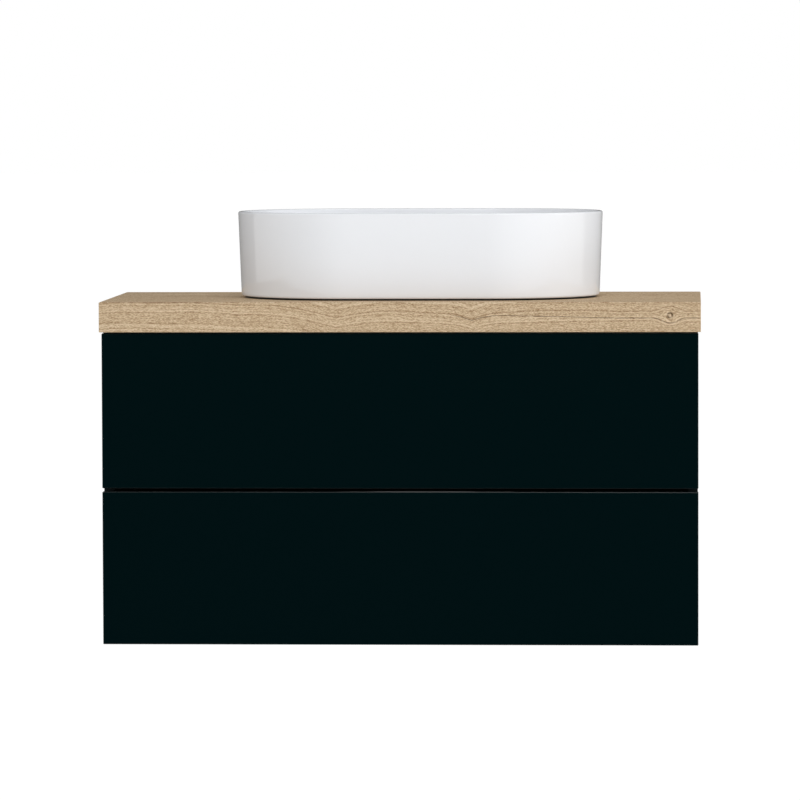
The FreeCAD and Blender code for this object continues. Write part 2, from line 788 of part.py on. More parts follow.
def make_upper_drawer():
    """The upper drawer, with a slot through its floor and back that clears the trap."""
    make_front("upper")
    make_box("upper")
    slot_side = "(slot_radius + slot_wall + slot_clear)"
    legs = f"({BASIN_DEPTH} - box_from_wall)"
    left = (f"-{BOX_INSIDE}", f"basin_offset - {slot_side}")
    right = (f"basin_offset + {slot_side}", BOX_INSIDE)
    backs = [back_board("upper_back_left", "upper", left), back_board("upper_back_right", "upper", right)]
    keep("upper_drawer_back", group("upper_drawer_back", backs))

    low = f"({UPPER_BOTTOM} + box_lift + floor_lift)"
    slot_low, slot_high = f"{low} - run_out", f"{low} + box_floor + run_out"
    centre = ("basin_offset", f"-{BASIN_DEPTH}", slot_low)
    round_end = rod("slot_round", slot_side, "box_floor + 2 * run_out", centre)
    slot_x = (f"basin_offset - {slot_side}", f"basin_offset + {slot_side}")
    slot_y = (f"-{BASIN_DEPTH}", "-box_from_wall + run_out")
    straight = board("slot_straight", slot_x, slot_y, (slot_low, slot_high))
    slot = fuse("slot", [round_end, straight])
    keep("upper_drawer_bottom", cut("upper_drawer_bottom", drawer_floor("upper"), [slot]))

    surround = body("siphon_surround")
    bind(surround, at_x="basin_offset", at_y=f"-{BASIN_DEPTH}", at_z=low)
    wall = sketch_on(surround, "XY_Plane")
    horseshoe(wall, "slot_radius", "slot_radius + slot_wall", legs)
    pad(surround, wall, "upper_box_height - floor_lift")
    flange = sketch_on(surround, "XY_Plane", "box_floor")
    flange_legs = f"({legs} - box_board - slot_clear)"
    horseshoe(flange, "slot_radius + slot_wall / 2", "slot_radius + slot_wall + slot_flange", flange_legs)
    pad(surround, flange, "slot_flange_thick")
    keep("siphon_surround", surround)


def make_lower_drawer():
    """The lower drawer, with a plain floor and back."""
    make_front("lower")
    make_box("lower")
    keep("lower_drawer_bottom", drawer_floor("lower"))
    keep("lower_drawer_back", back_board("lower_back_board", "lower", (f"-{BOX_INSIDE}", BOX_INSIDE)))


# ---- basin


def level(height):
    """A test for the edges that run round a body at one height."""
    return lambda edge: edge.BoundBox.ZLength < SAME and abs(edge.BoundBox.ZMin - height) < SAME


def make_basin():
    """The ceramic vessel: drafted walls on a soft heel, a bowl that falls to its waste and a hollow foot."""
    basin = body("basin")
    bind(basin, at_x="basin_offset", at_y=f"-{BASIN_DEPTH}", at_z=BASIN_BASE)
    heel = f"{BASIN_END} - basin_draft - heel_upper_set_in - heel_set_in"
    steps = [("heel_height", "heel_set_in"), ("heel_upper_height", "heel_upper_set_in")]
    steps.append(("basin_height - foot_height - heel_height - heel_upper_height", "basin_draft"))
    low, end = "foot_height", heel
    for height, run in steps:
        base = sketch_on(basin, "XY_Plane", low)
        stadium(base, BASIN_STRAIGHT, end)
        bind(pad(basin, base, height), TaperAngle=f"atan(({run}) / ({height}))")
        low, end = f"{low} + {height}", f"{end} + {run}"

    top, end = "basin_height", f"{BASIN_END} - basin_wall"
    steps = [("bowl_depth - bowl_corner_depth - bowl_floor_depth", "bowl_draft")]
    steps += [("bowl_corner_depth", "bowl_corner_run"), ("bowl_floor_depth", "bowl_floor_run")]
    for depth, run in steps:
        mouth = sketch_on(basin, "XY_Plane", top)
        stadium(mouth, BASIN_STRAIGHT, end)
        hollow = pocket(basin, mouth, depth, False)
        bind(hollow, TaperAngle=f"-atan(({run}) / ({depth}))")
        top, end = f"{top} - ({depth})", f"{end} - {run}"

    dressed(basin, "Chamfer", hollow, "rim_chamfer", level(size("basin_height")))

    foot = sketch_on(basin, "XY_Plane")
    foot_end = f"{BASIN_END} - basin_draft - foot_inset"
    stadium(foot, BASIN_STRAIGHT, foot_end)
    pad(basin, foot, "foot_height + root")
    hollow = sketch_on(basin, "XY_Plane")
    stadium(hollow, BASIN_STRAIGHT, f"{foot_end} - foot_band")
    circle(hollow, "hollow_boss")
    pocket(basin, hollow, "hollow_depth", True)
    fall = sketch_on(basin, "XY_Plane", "basin_height - bowl_depth")
    circle(fall, "fall_radius")
    dish = pocket(basin, fall, "bowl_fall", False)
    bind(dish, TaperAngle="-atan((fall_radius - waste_recess) / bowl_fall)")
    recess = sketch_on(basin, "XY_Plane", f"{FLANGE_SEAT} - {BASIN_BASE}")
    circle(recess, "waste_recess")
    pocket(basin, recess, "bowl_fall + waste_flange_thick", True)
    hole = sketch_on(basin, "XY_Plane")
    circle(hole, "waste_hole")
    pocket(basin, hole, "basin_height", True)
    keep("basin", basin)


# ---- waste and trap


def on_waste_axis(piece, height):
    """Puts a turned piece on the waste's axis."""
    return bind(piece, at_x="basin_offset", at_y=f"-{BASIN_DEPTH}", at_z=height)


def ring(name, inner, outer, height, seat):
    """A plain turned ring on the waste's axis."""
    return on_waste_axis(turned(name, [(inner, "0"), (outer, "0"), (outer, height), (inner, height)]), seat)


def make_waste():
    """The click-clack waste: flanged tube with a guide for the plug, and its back nut."""
    length = f"({FLANGE_SEAT} - {TOP} + waste_below_top)"
    bore = "(waste_tube - waste_wall)"
    corners = [("waste_tube", f"-{length}"), ("waste_tube", "0"), ("waste_flange", "0")]
    corners += [("waste_flange", "waste_flange_thick"), (bore, "waste_flange_thick"), (bore, f"-{length}")]
    tube = on_waste_axis(turned("waste_tube_body", corners), FLANGE_SEAT)
    low = f"({FLANGE_SEAT} - guide_drop - guide_height)"
    stem_bore = "(plug_stem + plug_clear)"
    hub = ring("waste_guide_hub", stem_bore, "guide_radius", "guide_height", low)
    arms = []
    for n in range(3):
        arm = DOC.addObject("Part::Box", f"waste_guide_arm_{n}")
        bind(arm, Length=f"{bore} - guide_radius + 2 * root", Width="guide_arm", Height="guide_height / 2")
        bind(arm, at_x="guide_radius - root", at_y="-guide_arm / 2", at_z="0")
        turn = DOC.addObject("Part::Compound", f"waste_guide_turn_{n}")
        turn.Links = [arm]
        turn.Placement = Placement(Vector(), Rotation(Vector(0, 0, 1), 120 * n))
        arms.append(on_waste_axis(turn, low))
    keep("waste_body", fuse("waste_body", [tube, hub] + arms))
    top = f"({FLANGE_SEAT} + waste_flange_thick + plug_clear)"
    corners = [("0", "-plug_stem_length"), ("plug_stem", "-plug_stem_length"), ("plug_stem", "0")]
    corners += [("plug_radius", "0"), ("plug_radius", "plug_thick"), ("0", "plug_thick")]
    keep("waste_plug", on_waste_axis(turned("waste_plug", corners), top))

    thread = "waste_tube + thread_clear"
    nut = faceted("waste_nut", 6, "back_nut_radius", "back_nut_height", (thread, "0", "back_nut_height"))
    keep("waste_nut", on_waste_axis(nut, f"({TOP} - back_nut_height)"))


def faceted(name, sides, radius, height, *bores):
    """A prism with a corner on X, cut by (radius, start, end) bores along its own Z axis."""
    prism = body(name)
    sketch = sketch_on(prism, "XY_Plane")
    turns = [f"{360 * n / sides:g} deg" for n in range(sides)]
    outline(sketch, [(f"{radius} * cos({turn})", f"{radius} * sin({turn})") for turn in turns])
    pad(prism, sketch, height)
    for bore, start, end in bores:
        hole = sketch_on(prism, "XY_Plane", start)
        circle(hole, bore)
        pocket(prism, hole, f"{end} - {start}", True)
    return prism


def hand_nut(name, radius, bore, mouth, height):
    """A plastic nut to turn by hand: a wide bore and a lip that holds the pipe's flange."""
    return faceted(name, 10, radius, height, (mouth, "0", "nut_lip"), (bore, "nut_lip", height))


def make_trap():
    """The bottle trap: bottle with its two pipes, then its nuts, screw-off cup and wall rosette."""
    loose_pipe = "(pipe_radius + pipe_clear)"
    pipe_bore = "(pipe_radius - pipe_wall)"
    flange_top = f"({TOP} - waste_below_top - pipe_clear)"
    reach = f"({flange_top} - {OUTLET_HEIGHT} + pipe_radius + pipe_dip)"
    wide = "(pipe_radius + pipe_flange)"
    corners = [(pipe_bore, f"-{reach}"), ("pipe_radius", f"-{reach}"), ("pipe_radius", "-pipe_flange_thick")]
    corners += [(wide, "-pipe_flange_thick"), (wide, "0"), (pipe_bore, "0")]
    inlet = on_waste_axis(turned("trap_inlet_pipe", corners), flange_top)

    neck_top = f"({TOP} - neck_drop)"
    neck = f"({loose_pipe} + neck_wall)"
    inner = "(bottle_radius - bottle_wall)"
    shoulder = "-(neck_height + bottle_wall)"
    corners = [(loose_pipe, "0"), (neck, "0"), (neck, "-neck_height"), ("bottle_radius", "-neck_height")]
    corners += [("bottle_radius", "-bottle_height"), (inner, "-bottle_height"), (inner, shoulder)]
    corners += [(loose_pipe, shoulder)]
    bottle = on_waste_axis(turned("trap_bottle", corners), neck_top)
    outlet_reach = "(bottle_radius + neck_height)"
    axis = ("basin_offset", f"-{BASIN_DEPTH}", OUTLET_HEIGHT)
    stub = rod("trap_outlet_stub", neck, outlet_reach, axis, "+Y")
    hollow = rod("trap_outlet_hollow", loose_pipe, f"{outlet_reach} + run_out", axis, "+Y")
    below = ("basin_offset", f"-{BASIN_DEPTH}", f"{OUTLET_HEIGHT} - bottle_height / 4")
    clear = rod("trap_bottle_hollow", inner, "bottle_height / 2", below)
    shell = cut("trap_outlet_open", stub, [clear])
    holder = cut("trap_holder", fuse("trap_shell", [bottle, shell]), [hollow])

    start = f"(-{BASIN_DEPTH} + bottle_radius + outlet_stand_off)"
    length = f"pipe_past_wall - {start}"
    tube = rod("outlet_tube", "pipe_radius", length, ("basin_offset", start, OUTLET_HEIGHT), "+Y")
    spot = ("basin_offset", f"{start} - run_out", OUTLET_HEIGHT)
    inside = rod("outlet_bore", pipe_bore, f"{length} + 2 * run_out", spot, "+Y")
    spot = ("basin_offset", "-rosette_depth + rosette_wall + rosette_bore_clear", OUTLET_HEIGHT)
    bead = rod("outlet_bead", "pipe_radius + stop_bead", "stop_bead", spot, "+Y")
    outlet = cut("trap_outlet_pipe", fuse("outlet_beaded", [tube, bead]), [inside])
    keep("bottle_trap", group("bottle_trap", [holder, inlet, outlet]))

    cup_bore = "(bottle_radius + thread_clear)"
    cup_height = "(cup_overlap + cup_drop + cup_wall)"
    cup = faceted("trap_cup", 12, f"({cup_bore} + cup_wall)", cup_height, (cup_bore, "cup_wall", cup_height))
    on_waste_axis(cup, f"({neck_top} - bottle_height - cup_drop - cup_wall)")

    thread = "waste_tube + thread_clear"
    nut = hand_nut("inlet_nut", "inlet_nut_radius", thread, loose_pipe, "inlet_nut_height")
    fittings = [cup, on_waste_axis(nut, f"({flange_top} - pipe_flange_thick - pipe_clear - nut_lip)")]
    thread = f"({neck} + thread_clear)"
    nut_lift = "pipe_clear + nut_lip"
    seats = {"up": (180, f"-{BASIN_DEPTH}", f"{neck_top} + {nut_lift}")}
    seats["out"] = (90, f"-{BASIN_DEPTH} + {outlet_reach} + {nut_lift}", OUTLET_HEIGHT)
    for name, (turn, y, z) in seats.items():
        nut = hand_nut(f"nut_{name}", "small_nut_radius", thread, loose_pipe, "small_nut_height")
        nut.Placement = Placement(Vector(), Rotation(Vector(1, 0, 0), turn))
        fittings.append(bind(nut, at_x="basin_offset", at_y=y, at_z=z))

    bore = "(pipe_radius + rosette_bore_clear)"
    back = "rosette_depth - rosette_wall"
    rim = "rosette_radius - rosette_wall"
    corners = [(bore, "rosette_depth"), ("rosette_radius", "rosette_depth"), ("rosette_radius", "0")]
    corners += [(rim, "0"), (rim, back), (bore, back)]
    rosette = turned("wall_rosette", corners)
    rosette.Placement = Placement(Vector(), Rotation(Vector(1, 0, 0), 90))
    fittings.append(bind(rosette, at_x="basin_offset", at_y="0", at_z=OUTLET_HEIGHT))
    keep("trap_fittings", group("trap_fittings", fittings))


# ---- build, check and write


def check():
    """Stops on any feature that failed and on any node without a valid shape."""
    for thing in DOC.Objects:
        if "Invalid" in thing.State or "Error" in thing.State:
            raise RuntimeError(f"{thing.Label} failed: {thing.State}")
    for label, thing in NODES.items():
        if thing.Shape.isNull() or not thing.Shape.isValid() or not thing.Shape.Solids:
            raise RuntimeError(f"{label} has no valid solid")


def write():
    """One STEP file for each node."""
    os.makedirs("parts", exist_ok=True)
    for label, thing in NODES.items():
        thing.Shape.exportStep(f"parts/{label}.step")


make_sheet()
make_worktop()
make_side_panels()
make_bottom_panel()
make_front_rail()
make_rear_rail()
make_back_panel()
make_brackets()
make_wall_rail()
make_hangers()
make_latches()
make_runners()
make_upper_drawer()
make_lower_drawer()
make_basin()
make_waste()
make_trap()
DOC.recompute()
check()
write()
print(len(NODES), "nodes")
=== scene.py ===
"""Looks of a wall-hung vanity: two handleless drawers, an oak-decor worktop and a ceramic basin.

Metres. X runs to the right, the drawer fronts face -Y, the wall is the plane y = 0 and Z is up.
"""

import math

import bmesh
import bpy
import numpy as np
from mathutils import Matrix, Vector


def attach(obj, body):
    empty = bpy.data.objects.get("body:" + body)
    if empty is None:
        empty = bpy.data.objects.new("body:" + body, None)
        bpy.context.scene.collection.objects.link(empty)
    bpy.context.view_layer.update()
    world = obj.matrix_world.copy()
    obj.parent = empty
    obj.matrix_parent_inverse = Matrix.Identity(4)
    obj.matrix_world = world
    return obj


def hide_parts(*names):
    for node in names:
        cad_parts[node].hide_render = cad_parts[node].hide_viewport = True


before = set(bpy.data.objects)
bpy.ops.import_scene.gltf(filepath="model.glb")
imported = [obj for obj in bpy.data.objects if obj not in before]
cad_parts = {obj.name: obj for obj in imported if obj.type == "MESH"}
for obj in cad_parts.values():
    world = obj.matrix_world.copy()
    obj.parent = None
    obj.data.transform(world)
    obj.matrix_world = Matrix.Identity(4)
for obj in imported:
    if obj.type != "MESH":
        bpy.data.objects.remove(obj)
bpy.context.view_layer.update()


# ---- studio
# A pale floor well below the hung cabinet, four broad lamps round it and an even light from the
# room. The camera has a long lens and stands far off, a little to the right and just above the
# basin's rim.

WHITE = "#FFFFFF"
# In metres, degrees and millimetres of lens.
CAMERA_PLACE = (0.4845, -9.556, 0.462)
CAMERA_TILT, CAMERA_ROLL, CAMERA_TURN = 3.264, 0.17, 3.0305
CAMERA_LENS = 247.4
# The room's share of light on a white face, and its strength where it is seen or mirrored.
ROOM_LIGHT, ROOM_WHITE = 0.375, 1.0
FLOOR_HEIGHT, FLOOR_HALF = -0.95, 80.0
FLOOR_PALE = "#EDEDEB"
# How much of the seen floor glows, and how brightly. The rest of it takes the shadow.
FLOOR_GLOW, FLOOR_WHITE = 0.92, 1.07
LAMPS_AIM = Vector((0.0, -0.23, -0.1))
# Azimuth from the front and height in degrees, distance, width and height in metres, share, and
# whether gloss mirrors it.
LAMPS = {
    "key": (74, 12, 4.5, 2.6, 2.2, 0.45, False),
    "front": (-16, 10, 5.0, 3.0, 2.0, 0.34, False),
    "top": (25, 68, 4.5, 2.0, 1.2, 0.20, True),
    "back": (205, 12, 4.5, 3.0, 2.0, 0.28, False),
}
# A grey card behind the cabinet, which only gloss sees: half its width, its height and its place.
CARD_GREY = 0.22
CARD_HALF, CARD_TALL, CARD_BEHIND = 3.5, 3.0, 1.2


def colour(text):
    """Linear colour of an sRGB hex value: c / 12.92 where dark, else ((c + 0.055) / 1.055)^2.4."""
    parts = np.array([int(text[i : i + 2], 16) / 255 for i in (1, 3, 5)])
    linear = np.where(parts <= 0.04045, parts / 12.92, ((parts + 0.055) / 1.055) ** 2.4)
    return (*linear.tolist(), 1.0)


def add(tree, kind, inputs, **settings):
    """A shader node with its settings. Each input takes a value, a socket or a node, which stands
    for its first output."""
    made = tree.nodes.new("ShaderNode" + kind)
    for name, value in settings.items():
        setattr(made, name, value)
    for socket, value in inputs.items():
        if isinstance(value, bpy.types.Node):
            value = value.outputs[0]
        if isinstance(value, bpy.types.NodeSocket):
            tree.links.new(value, made.inputs[socket])
        else:
            made.inputs[socket].default_value = value
    return made


def seen(tree):
    """1 for rays that look straight, or by way of gloss or glass, and 0 for the rest."""
    path = add(tree, "LightPath", {})
    looks = [path.outputs[f"Is {kind} Ray"] for kind in ("Camera", "Glossy", "Transmission")]
    first = add(tree, "Math", {0: looks[0], 1: looks[1]}, operation="MAXIMUM")
    return add(tree, "Math", {0: first, 1: looks[2]}, operation="MAXIMUM")


def link(name, data):
    """A new object in the scene."""
    made = bpy.data.objects.new(name, data)
    bpy.context.scene.collection.objects.link(made)
    return made


def lamp(name, azimuth, height, distance, width, tall, share, mirrored):
    """A broad lamp aimed at the cabinet; share is what it adds to a white face turned to it, and
    mirrored says if gloss shows it."""
    data = bpy.data.lights.new(name, "AREA")
    data.shape = "RECTANGLE"
    data.size, data.size_y = width, tall
    data.energy = share * math.pi**2 * distance**2  # a face of reflectance 1 then shows the share
    turn, lift = math.radians(azimuth), math.radians(height)
    level = math.cos(lift)
    way = Vector((math.sin(turn) * level, -math.cos(turn) * level, math.sin(lift)))
    made = link(name, data)
    made.visible_glossy = mirrored
    made.location = LAMPS_AIM + way * distance
    made.rotation_euler = way.to_track_quat("Z", "Y").to_euler()


scene = bpy.context.scene
scene.view_settings.view_transform = "Standard"
camera = link("camera", bpy.data.cameras.new("camera"))
camera.data.lens = CAMERA_LENS
camera.location = CAMERA_PLACE
turns = (90 - CAMERA_TILT, CAMERA_ROLL, CAMERA_TURN)
camera.rotation_euler = [math.radians(turn) for turn in turns]
scene.camera = camera

for name, place in LAMPS.items():
    lamp(name, *place)

scene.world = bpy.data.worlds.new("room")
scene.world.use_nodes = True
room = scene.world.node_tree
room.nodes.clear()
light = add(room, "Background", {"Color": colour(WHITE), "Strength": ROOM_LIGHT})
white = add(room, "Background", {"Color": colour(WHITE), "Strength": ROOM_WHITE})
add(room, "OutputWorld", {"Surface": add(room, "MixShader", {0: seen(room), 1: light, 2: white})})

floor_mesh = bpy.data.meshes.new("floor")
ends = (-FLOOR_HALF, FLOOR_HALF)
floor_mesh.from_pydata([(x, y, FLOOR_HEIGHT) for y in ends for x in ends], [], [(0, 1, 3, 2)])
floor = link("floor", floor_mesh)
paint = bpy.data.materials.new("pale_floor_paint")
paint.use_nodes = True
tree = paint.node_tree
tree.nodes.clear()
chalk = add(tree, "BsdfDiffuse", {"Color": colour(FLOOR_PALE)})
glow = add(tree, "Emission", {"Color": colour(WHITE), "Strength": FLOOR_WHITE})
amount = add(tree, "Math", {0: seen(tree), 1: FLOOR_GLOW}, operation="MULTIPLY")
add(tree, "OutputMaterial", {"Surface": add(tree, "MixShader", {0: amount, 1: chalk, 2: glow})})
floor_mesh.materials.append(paint)

card_mesh = bpy.data.meshes.new("wall_card")
ends = (-CARD_HALF, CARD_HALF)
levels = (FLOOR_HEIGHT, FLOOR_HEIGHT + CARD_TALL)
card_mesh.from_pydata([(x, CARD_BEHIND, z) for z in levels for x in ends], [], [(0, 1, 3, 2)])
card = link("wall_card", card_mesh)
card.visible_camera = card.visible_diffuse = card.visible_shadow = False
grey = bpy.data.materials.new("grey_wall_card")
grey.use_nodes = True
tree = grey.node_tree
tree.nodes.clear()
glow = add(tree, "Emission", {"Color": colour(WHITE), "Strength": CARD_GREY})
add(tree, "OutputMaterial", {"Surface": glow})
card_mesh.materials.append(grey)


# ---- wall rail, hooks and brackets
# Rolled and folded steel strip, zinc-plated and blue-passivated: a cool grey with a soft, slightly
# streaked shine. The rail is screwed to the wall and the cabinet's two hooks hang on its lip.

MM = 0.001
ZINC = "#BFC3C8"
ZINC_ROUGH = {"From Min": 0.3, "From Max": 0.7, "To Min": 0.26, "To Max": 0.42}
ZINC_BLOOM = {"Scale": 1 / (9 * MM), "Detail": 4.0}
# The streaks are drawn coarser than rolling leaves them, so that they show.
STREAK_LONG, STREAK_HIGH = 60 * MM, 0.5 * MM
STREAKS = {"Scale": 1.0, "Detail": 2.0}
ROLLED = {"Strength": 0.4, "Distance": 0.02 * MM}


def finish(name, base, sockets):
    """A material for one real finish, with its tree, its shader and the object's coordinates."""
    material = bpy.data.materials.new(name)
    material.use_nodes = True
    tree = material.node_tree
    shader = tree.nodes["Principled BSDF"]
    shader.inputs["Base Color"].default_value = colour(base)
    for socket, value in sockets.items():
        shader.inputs[socket].default_value = value
    where = add(tree, "TexCoord", {}).outputs["Object"]
    return material, tree, shader, where


def dress(material, *names):
    """Gives carried-over nodes of the frame their finish."""
    for name in names:
        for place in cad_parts[name].material_slots:
            place.material = material


zinc_plate, tree, shader, where = finish("zinc_plated_steel", ZINC, {"Metallic": 1.0})
bloom = add(tree, "TexNoise", {"Vector": where, **ZINC_BLOOM})
rough = add(tree, "MapRange", {"Value": bloom, **ZINC_ROUGH})
tree.links.new(rough.outputs[0], shader.inputs["Roughness"])
scale = (1 / STREAK_LONG, 1 / STREAK_LONG, 1 / STREAK_HIGH)
along = add(tree, "Mapping", {"Vector": where, "Scale": scale})
streaks = add(tree, "TexNoise", {"Vector": along, **STREAKS})
ridged = add(tree, "Bump", {"Height": streaks, **ROLLED})
tree.links.new(ridged.outputs[0], shader.inputs["Normal"])
dress(zinc_plate, "wall_rail", "hanger_hooks", "worktop_brackets")


# ---- carcass
# Two side panels, a bottom, two rails and a back of particle board faced with near-black melamine,
# matt with a fine pressed pearl. Cam fittings under plain caps pull the boards together.

CARCASS_DARK = "#141A1B"
CARCASS_MATT = {"Roughness": 0.5, "Specular IOR Level": 0.05}
# The pearl is drawn about twice as coarse as it is pressed, so that it shows.
PEARL = {"Scale": 1 / (1.1 * MM), "Detail": 3.0}
PEARL_PRESSED = {"Strength": 0.5, "Distance": 0.06 * MM}

melamine, tree, shader, where = finish("dark_melamine_board", CARCASS_DARK, CARCASS_MATT)
pearl = add(tree, "TexNoise", {"Vector": where, **PEARL})
pressed = add(tree, "Bump", {"Height": pearl, **PEARL_PRESSED})
tree.links.new(pressed.outputs[0], shader.inputs["Normal"])
dress(melamine, "side_panel_left", "side_panel_right", "bottom_panel")
dress(melamine, "front_rail", "rear_rail", "back_panel")


# ---- hangers, push latches and siphon surround
# Moulded ABS: housings in the cabinet's top corners that hold the hooks, latches that throw the
# drawers open, and the surround of the upper drawer's slot. Mid grey, with the fine even matt of a
# spark-eroded mould.

ABS_GREY = "#5C5E61"
ABS_MATT = {"Roughness": 0.48}
# The mould's grain of about 0.1 mm is drawn coarser, so that it shows.
SPARKS = {"Scale": 1 / (0.8 * MM), "Detail": 4.0}
ERODED = {"Strength": 0.5, "Distance": 0.04 * MM}

abs_grey, tree, shader, where = finish("moulded_grey_abs", ABS_GREY, ABS_MATT)
sparks = add(tree, "TexNoise", {"Vector": where, **SPARKS})
eroded = add(tree, "Bump", {"Height": sparks, **ERODED})
tree.links.new(eroded.outputs[0], shader.inputs["Normal"])
dress(abs_grey, "hanger_housings", "push_latches", "push_latch_plungers", "siphon_surround")


# ---- runners
# Three rolled members of zinc-plated steel on each side of each drawer. The middle and inner ones
# roll on steel balls, which sit in cages moulded in the same grey as the latches.

for drawer in ("upper", "lower"):
    dress(zinc_plate, *(f"{drawer}_runner_{part}" for part in ("outer", "middle", "inner")))
    dress(abs_grey, *(f"{drawer}_cages_{part}" for part in ("outer", "inner")))


# ---- drawer boxes
# Sides, back, bottom and an inner front of board, dowelled and glued. They are faced with warm
# pale-grey melamine, whose press plate leaves a fine linen of two close tones.

BOX_PALE = "#D1CCC2"
BOX_SATIN = {"Roughness": 0.46}
LINEN_TONES = ("#CBC6BB", "#D7D2C9")
# The linen is drawn about twice as coarse as it is pressed, so that it shows.
LINEN = {"Scale": 1 / (1.6 * MM), "Detail": 3.0}
LINEN_PRESSED = {"Strength": 0.4, "Distance": 0.05 * MM}
BOX_BOARDS = ("inner_front", "side_left", "side_right", "back", "bottom")

box_board, tree, shader, where = finish("pale_melamine_board", BOX_PALE, BOX_SATIN)
linen = add(tree, "TexNoise", {"Vector": where, **LINEN})
tones = {0: linen, 6: colour(LINEN_TONES[0]), 7: colour(LINEN_TONES[1])}
tone = add(tree, "Mix", tones, data_type="RGBA")
tree.links.new(tone.outputs[2], shader.inputs["Base Color"])
pressed = add(tree, "Bump", {"Height": linen, **LINEN_PRESSED})
tree.links.new(pressed.outputs[0], shader.inputs["Normal"])
for drawer in ("upper", "lower"):
    dress(box_board, *(f"{drawer}_drawer_{part}" for part in BOX_BOARDS))


# ---- drawer fronts
# 19 mm board sprayed all round in a near-black petrol lacquer. The faces are flatted to a smooth
# dead matt, and the narrow edges keep the lacquer's satin, so a fine line of light runs along them.

PETROL = "#000E10"
PETROL_MATT = {"Specular IOR Level": 0.015, "Coat Roughness": 0.3}
PETROL_ROUGH = {"To Min": 0.5, "To Max": 0.62}
PEEL = {"Scale": 1 / (3.0 * MM), "Detail": 2.0}
SPRAYED = {"Strength": 0.3, "Distance": 0.02 * MM}
# The narrow edges lie between the two faces: their middle depth and half their width.
EDGE_MIDDLE, EDGE_HALF = -447.5 * MM, 9.3 * MM

lacquer, tree, shader, where = finish("petrol_matt_lacquer", PETROL, PETROL_MATT)
depth = add(tree, "SeparateXYZ", {"Vector": where}).outputs[1]
edge = add(tree, "Math", {0: depth, 1: EDGE_MIDDLE, 2: EDGE_HALF}, operation="COMPARE")
tree.links.new(edge.outputs[0], shader.inputs["Coat Weight"])
peel = add(tree, "TexNoise", {"Vector": where, **PEEL})
rough = add(tree, "MapRange", {"Value": peel, **PETROL_ROUGH})
tree.links.new(rough.outputs[0], shader.inputs["Roughness"])
sprayed = add(tree, "Bump", {"Height": peel, **SPRAYED})
tree.links.new(sprayed.outputs[0], shader.inputs["Normal"])
dress(lacquer, "upper_drawer_front", "lower_drawer_front")


# ---- worktop
# A 50 mm particle-board top faced and edged in oak-decor melamine, matt with softly pressed pores.
# The grain runs along it. The front edge has one knot, one fork and a long thin vein, and the ends
# show the rings. It stands on the side panels and the brackets screw it down.

# The grain's tones, from the palest wood to the darkest pore.
OAK = ((0.42, "#D8C3A6"), (0.49, "#C4AD8E"), (0.555, "#A88D6E"), (0.63, "#84694C"))
OAK_KNOT = "#4E3826"
OAK_MATT = {"Roughness": 0.78, "Specular IOR Level": 0.03}
# The middle of the tree, how far it wanders from there, and over what length, depth and height.
PITH = (0.0, -150 * MM, -160 * MM)
WANDER = 38 * MM
WANDER_RUN = (588 * MM, 200 * MM, 200 * MM)
WANDER_NOISE = {"Scale": 1.0, "Detail": 3.0, "Roughness": 0.45}
# Length, thickness and width of a pore and of a fibre, spacing of fine rings and of broad bands,
# and what each adds to the grain. Pores are drawn twice as thick as they are, so that they show.
STROKES = {"pore": (3.4 * MM, 0.5 * MM, 3 * MM), "fibre": (14 * MM, 0.6 * MM, 5 * MM)}
STROKE_NOISE = {"Scale": 1.0, "Detail": 2.0, "Distortion": 0.3}
RINGS, RING_DETAIL = {"line": 1.6 * MM, "band": 6.5 * MM}, 1.0
SHARES = {"pore": 0.50, "fibre": 0.22, "line": 0.15, "band": 0.13}
# The knot's place and reach, how hard it squeezes the grain and how many reaches away that ends,
# and the middle and half the width of its dark eye, in reaches too.
KNOT = (449 * MM, 82.8 * MM)
KNOT_REACH = (20 * MM, 19 * MM)
KNOT_SQUEEZE, KNOT_SPREAD = 0.95, 1.7
KNOT_EYE, KNOT_EYE_HALF = 0.20, 0.13
# Place, reach and height of the fork's dip and of the sweep's hump.
FORK = (121 * MM, 50 * MM, 9.5 * MM)
SWEEP = (-105 * MM, 110 * MM, 15 * MM)
# The vein falls along this run from one height to the other. It fades in over a second run, keeps
# to the front of the board, and breaks up where the strokes are pale.
VEIN_RUN, VEIN_FALL, VEIN_HALF = (120 * MM, 360 * MM), (84 * MM, 78.5 * MM), 1.1 * MM
VEIN_FADE = {"From Min": 85 * MM, "From Max": 100 * MM}
VEIN_DEPTH = {"From Min": -456 * MM, "From Max": -436 * MM, "To Min": 1.0, "To Max": 0.0}
VEIN_BREAKS = {"From Min": 0.38, "From Max": 0.54, "To Min": 0.4}
# The edging's joint: above this height, in front of this depth, and how dark it is.
JOINT_HIGH, JOINT_FRONT, JOINT_DARK = 104.3 * MM, -459.8 * MM, 0.45
OAK_PRESSED = {"Strength": 0.6, "Distance": 0.15 * MM}

oak, tree, shader, where = finish("oak_decor_melamine", OAK[1][1], OAK_MATT)
length, depth, height = add(tree, "SeparateXYZ", {"Vector": where}).outputs

# The knot squeezes the grain's height towards its own, so that the lines bow round it.
scale = (1 / KNOT_REACH[0], 0.0, 1 / KNOT_REACH[1])
middle = (-KNOT[0] * scale[0], 0.0, -KNOT[1] * scale[2])
off_knot = add(tree, "Mapping", {"Vector": where, "Scale": scale, "Location": middle})
off_knot = add(tree, "VectorMath", {0: off_knot}, operation="LENGTH").outputs["Value"]
limits = {"Value": off_knot, "From Max": KNOT_SPREAD, "To Min": -KNOT_SQUEEZE, "To Max": 0.0}
squeeze = add(tree, "MapRange", limits, interpolation_type="SMOOTHERSTEP")
over_knot = add(tree, "Math", {0: height, 1: KNOT[1]}, operation="SUBTRACT")
level = add(tree, "Math", {0: over_knot, 1: squeeze, 2: height}, operation="MULTIPLY_ADD")
